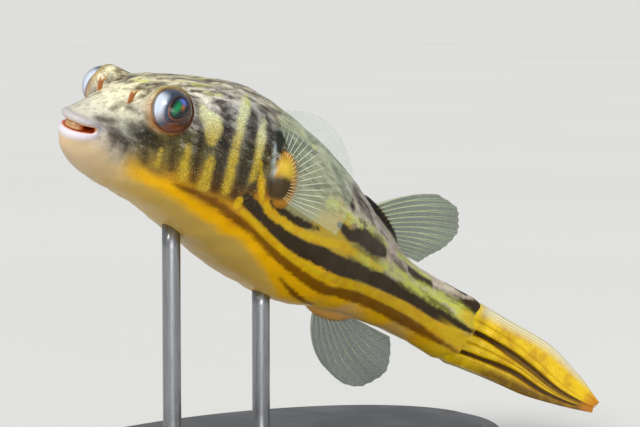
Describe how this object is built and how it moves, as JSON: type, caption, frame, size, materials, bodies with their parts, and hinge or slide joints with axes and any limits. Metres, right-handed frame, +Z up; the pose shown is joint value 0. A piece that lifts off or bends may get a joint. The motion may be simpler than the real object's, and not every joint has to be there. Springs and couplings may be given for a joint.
{
  "type": "fahaka pufferfish model",
  "caption": "Still, life-size model of a half-grown striped freshwater pufferfish, nose up with folded tail fin, held by rods on a flat oval base.",
  "frame": {"origin": "centre of the flat underside of the oval stand base", "axes": "+Z up, the fish faces -X with its left side towards -Y"},
  "size_m": [0.14, 0.076, 0.0858],
  "materials": {
    "skin": "painted resin skin, satin, yellow and dark brown stripes over a cream belly",
    "beak": "tan fused tooth plate",
    "eye": "glass eye with red-brown iris and green-blue pupil",
    "fin": "thin translucent resin fin with pale rays",
    "stand": "satin black stand"
  },
  "bodies": {
    "root": {"head": "skin", "trunk": "skin", "tail": "skin", "lip_upper": "skin", "lip_lower": "skin", "beak": "beak", "eye_left": "eye", "eye_right": "eye", "nasal_tentacle_left": "skin", "nasal_tentacle_right": "skin", "pectoral_base_left": "skin", "pectoral_base_right": "skin", "pectoral_fin_left": "fin", "pectoral_fin_right": "fin", "dorsal_fin_base": "skin", "dorsal_fin": "fin", "anal_fin_base": "skin", "anal_fin": "fin", "tail_fin": "fin", "stand_base": "stand", "stand_rod_front": "stand", "stand_rod_rear": "stand"}
  },
  "joints": []
}
